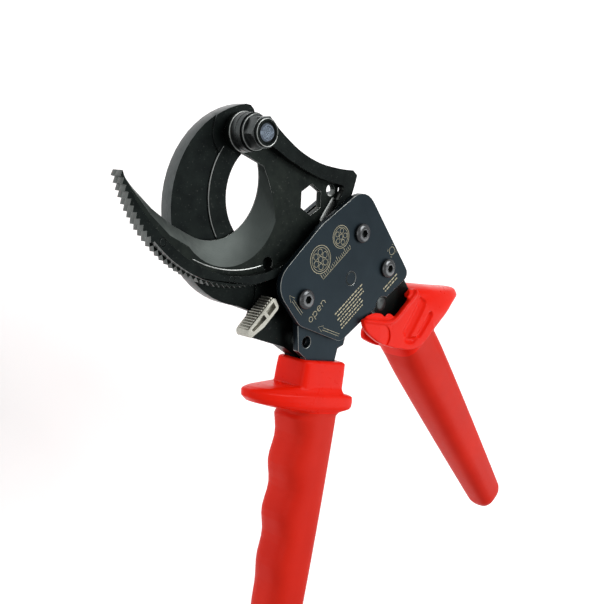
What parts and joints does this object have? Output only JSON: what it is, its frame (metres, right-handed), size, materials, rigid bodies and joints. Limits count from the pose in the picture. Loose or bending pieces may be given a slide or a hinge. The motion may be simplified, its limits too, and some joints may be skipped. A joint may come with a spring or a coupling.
{
  "type": "ratchet cable cutter",
  "caption": "Hand-held ratcheting cable cutter with hooked fixed blade, toothed moving blade, pawl drive, release lever and red moulded grips.",
  "frame": {"origin": "on the blade pivot's axis, in the plane of the pivot bolt head's outer face, which the tool lies on", "axes": "+Y from the handles to the head along the fixed handle, +Z through the thickness towards the nut side, +X towards the moving handle"},
  "size_m": [0.305, 0.251, 0.0324],
  "materials": {
    "black_steel": "black oxide, satin",
    "ground_steel": "ground, brushed",
    "plate_steel": "dark blued, satin",
    "bright_steel": "dark bright steel",
    "zinc": "satin nickel",
    "red_grip": "moulded, semi-gloss"
  },
  "bodies": {
    "fixed_side": {"fixed_blade": "black_steel", "fixed_handle_strap": "plate_steel", "front_side_plate": "plate_steel", "rear_side_plate": "plate_steel", "upper_screw": "bright_steel", "handle_screw": "bright_steel", "pawl_screw": "bright_steel", "upper_nut": "bright_steel", "handle_nut": "bright_steel", "pawl_nut": "bright_steel", "upper_sleeve": "bright_steel", "pawl_sleeve": "bright_steel", "strap_pin": "bright_steel", "tang_rivet_upper": "bright_steel", "tang_rivet_lower": "bright_steel", "fixed_handle_grip": "red_grip", "pivot_bolt": "black_steel", "pivot_nut": "black_steel", "pivot_washer": "bright_steel", "handle_return_spring": "bright_steel", "holding_pawl_spring": "bright_steel"},
    "moving_blade": {"cutting_blade": "ground_steel", "toothed_frame": "black_steel", "blade_rivet_rim": "bright_steel", "blade_rivet_tail": "bright_steel"},
    "moving_handle": {"moving_handle_channel": "plate_steel", "moving_handle_grip": "red_grip", "drive_pawl_pin": "bright_steel", "drive_pawl_spring": "bright_steel", "handle_sleeve": "bright_steel"},
    "drive_pawl_body": {"drive_pawl": "ground_steel"},
    "release_body": {"holding_pawl": "black_steel", "release_lever": "zinc"}
  },
  "joints": [
    {"name": "blade_pivot", "type": "hinge", "parent": "fixed_side", "child": "moving_blade", "pos_m": [0, 0, 0.0138], "axis": [0, 0, 1], "range_deg": [-40, 140]},
    {"name": "handle_hinge", "type": "hinge", "parent": "fixed_side", "child": "moving_handle", "pos_m": [0.099, -0.0477, 0.0138], "axis": [0, 0, 1], "range_deg": [-42, 3], "stiffness_Nm_per_rad": 0.2},
    {"name": "drive_pawl_hinge", "type": "hinge", "parent": "moving_handle", "child": "drive_pawl_body", "pos_m": [0.10298, -0.066, 0.0138], "axis": [0, 0, 1], "range_deg": [-5, 63]},
    {"name": "release_hinge", "type": "hinge", "parent": "fixed_side", "child": "release_body", "pos_m": [0.0452, -0.0676, 0.0138], "axis": [0, 0, 1], "range_deg": [0, 12], "stiffness_Nm_per_rad": 0.05}
  ],
  "couplings": [
    {"joint": "drive_pawl_hinge", "follows": "handle_hinge", "ratio": -1.48}
  ]
}
